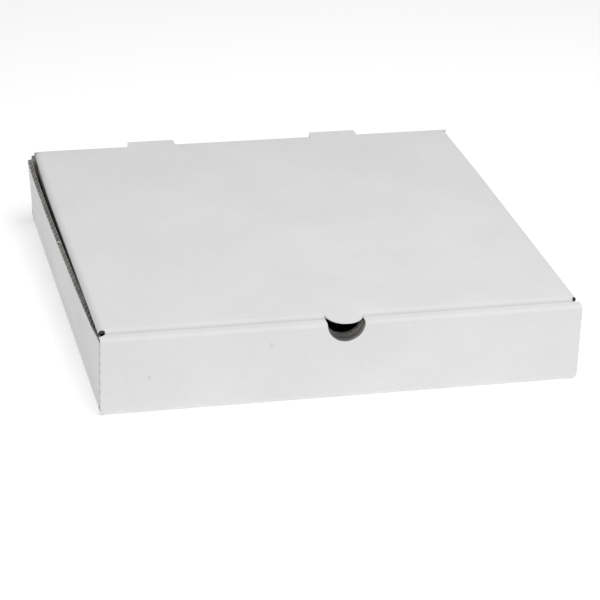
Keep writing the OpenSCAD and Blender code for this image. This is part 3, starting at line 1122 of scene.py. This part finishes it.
class PIZZABOX_OT_nick(bpy.types.Operator):
    """Set the tuft of torn paper on the left wall's edge, where the die-cut sheet was held in its frame"""

    bl_idname = "pizzabox.nick"
    bl_label = "Edge nick"

    def execute(self, context):
        tray = context.scene.box_tray
        sheet = tray_sheet(context)
        edge_u = -max(u for u, *_ in sheet.loops[0])
        middle = TRAY_HI.y - tray.nick_from_rear
        half_t = sheet.half_t
        stations = spaced(-1.0, 1.0, 0.25)
        rows = []
        for part in stations:
            v = middle + part * tray.nick_w / 2
            for h in spaced(-half_t, half_t, 0.5 * MM):
                height = tray.nick_h * (1 - part * part) * (0.75 + 0.25 * math.cos(4 * h / half_t))
                rows.append((edge_u - height, v, h))
            rows += [(edge_u + tray.nick_h, v, half_t), (edge_u + tray.nick_h, v, -half_t)]
        polygons = tube(len(rows) // len(stations), len(stations))
        paper = bpy.data.materials["cut board"]
        tuft = folded("edge_nick", sheet.fold, rows, polygons, [0] * len(polygons), [paper])
        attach(tuft, "tray")
        return {"FINISHED"}


class PIZZABOX_OT_lid(bpy.types.Operator):
    """Cut and fold the lid's sheet, with the wavy medium in its cut edges"""

    bl_idname = "pizzabox.lid"
    bl_label = "Lid"

    def execute(self, context):
        sheet = lid_sheet(context)
        finish = board_finish(context, "lid")
        body = sheet.mesh("lid_sheet", finish)
        flutes = sheet.flutes("lid_flutes", finish[2])
        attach(body, "lid")
        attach(flutes, "lid")
        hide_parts("lid")
        return {"FINISHED"}


class PIZZABOX_OT_crease(bpy.types.Operator):
    """Lay the outer liner over the hinge, from the rear wall to the lid"""

    bl_idname = "pizzabox.crease"
    bl_label = "Hinge crease"

    def execute(self, context):
        board = context.scene.box_board
        tray = context.scene.box_tray
        lid = context.scene.box_lid
        half_t = board.thickness / 2
        skin = 0.12 * MM
        sunk = 0.05 * MM
        radius = half_t - sunk - skin / 2
        run = Run((HINGE.y, HINGE.z + radius), 0.0, 1, [
            bend(radius, -math.pi / 2),
            straight(half_t + tray.hinge_gap),
            bend(5.0 * MM, -0.12),
        ])
        tab_x = TRAY_HI.y - lid.tab_from_side
        slot_half = lid.tab_w / 2 + lid.slot_gap
        outer = LID_HI.x - lid.nip
        ends = [-outer, -tab_x - slot_half, -tab_x + slot_half, tab_x - slot_half, tab_x + slot_half, outer]
        stations = sorted(set(run.marks + spaced(0.0, run.length, 0.5 * MM)))
        rows = []
        polygons = []
        for low, high in zip(ends[::2], ends[1::2]):
            columns = spaced(low, high, board.grid)
            polygons += tube(2 * len(stations), len(columns), len(rows))
            for x in columns:
                rows += [(x, s, skin / 2) for s in stations]
                rows += [(x, s, -skin / 2) for s in reversed(stations)]

        def fold(x, s, h):
            return Vector((x, *run.at(s, h)))

        liner = bpy.data.materials["lid white liner"]
        strip = folded("hinge_crease", fold, rows, polygons, [0] * len(polygons), [liner])
        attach(strip, "tray")
        return {"FINISHED"}


class PIZZABOX_OT_stage(bpy.types.Operator):
    """Set the floor, the soft studio light and the camera"""

    bl_idname = "pizzabox.stage"
    bl_label = "Stage"

    def execute(self, context):
        scene = context.scene
        stage = scene.box_stage
        mesh = bpy.data.meshes.new("floor")
        reach = FLOOR_REACH
        corners = [(-reach, -reach, 0), (reach, -reach, 0), (reach, reach, 0), (-reach, reach, 0)]
        mesh.from_pydata(corners, [], [(0, 1, 2, 3)])
        mesh.materials.append(floor_paint(context))
        floor = bpy.data.objects.new("floor", mesh)
        floor.location.z = -FLOOR_DROP
        scene.collection.objects.link(floor)

        world = bpy.data.worlds.new("room")
        world.use_nodes = True
        back = world.node_tree.nodes["Background"]
        back.inputs["Color"].default_value = (1.0, 1.0, 1.0, 1.0)
        back.inputs["Strength"].default_value = stage.sky
        scene.world = world
        self.light(scene, "overhead", LAMP_PLACE, LAMP_SIZE, stage.top)
        scene.view_settings.view_transform = "Standard"
        scene.view_settings.look = "None"

        cam = bpy.data.cameras.new("camera")
        cam.lens = stage.lens
        cam.sensor_width = 36.0
        cam.shift_x = stage.shift_x
        cam.shift_y = stage.shift_y
        cam.clip_start = 0.05
        a, e = stage.azimuth, stage.elevation
        back_way = Vector((math.sin(a) * math.cos(e), -math.cos(a) * math.cos(e), math.sin(e)))
        camera = bpy.data.objects.new("camera", cam)
        turn = back_way.to_track_quat("Z", "Y").to_matrix() @ Matrix.Rotation(stage.roll, 3, "Z")
        camera.matrix_world = Matrix.Translation(back_way * stage.distance) @ turn.to_4x4()
        scene.collection.objects.link(camera)
        scene.camera = camera
        return {"FINISHED"}

    def light(self, scene, name, place, size, power):
        """Adds a large square softbox that faces the box."""
        lamp = bpy.data.lights.new(name, "AREA")
        lamp.size = size
        lamp.energy = power
        obj = bpy.data.objects.new(name, lamp)
        obj.location = place
        obj.rotation_euler = Vector(place).to_track_quat("Z", "Y").to_euler()
        scene.collection.objects.link(obj)


class PIZZABOX_PT_panel(bpy.types.Panel):
    """Lists the steps that make the box"""

    bl_idname = "PIZZABOX_PT_panel"
    bl_label = "Pizza box"
    bl_space_type = "VIEW_3D"
    bl_region_type = "UI"
    bl_category = "Pizza box"

    def draw(self, context):
        for step in STEPS:
            self.layout.operator(step.bl_idname)
        for group in GROUPS:
            settings = getattr(context.scene, group)
            box = self.layout.box()
            for key in settings.bl_rna.properties.keys():
                if key not in ("rna_type", "name"):
                    box.prop(settings, key)


GROUPS = {
    "box_board": BoardSettings,
    "box_tray": TraySettings,
    "box_lid": LidSettings,
    "box_finish": FinishSettings,
    "box_stage": StageSettings,
}
STEPS = (PIZZABOX_OT_stage, PIZZABOX_OT_tray, PIZZABOX_OT_nick, PIZZABOX_OT_lid, PIZZABOX_OT_crease)
CLASSES = (*GROUPS.values(), *STEPS, PIZZABOX_PT_panel)


def register():
    for cls in CLASSES:
        bpy.utils.register_class(cls)
    for name, cls in GROUPS.items():
        setattr(bpy.types.Scene, name, bpy.props.PointerProperty(type=cls))


def unregister():
    for name in GROUPS:
        delattr(bpy.types.Scene, name)
    for cls in reversed(CLASSES):
        bpy.utils.unregister_class(cls)


def main():
    register()
    bpy.ops.pizzabox.stage()
    bpy.ops.pizzabox.tray()
    bpy.ops.pizzabox.nick()
    bpy.ops.pizzabox.lid()
    bpy.ops.pizzabox.crease()


if __name__ == "__main__":
    main()
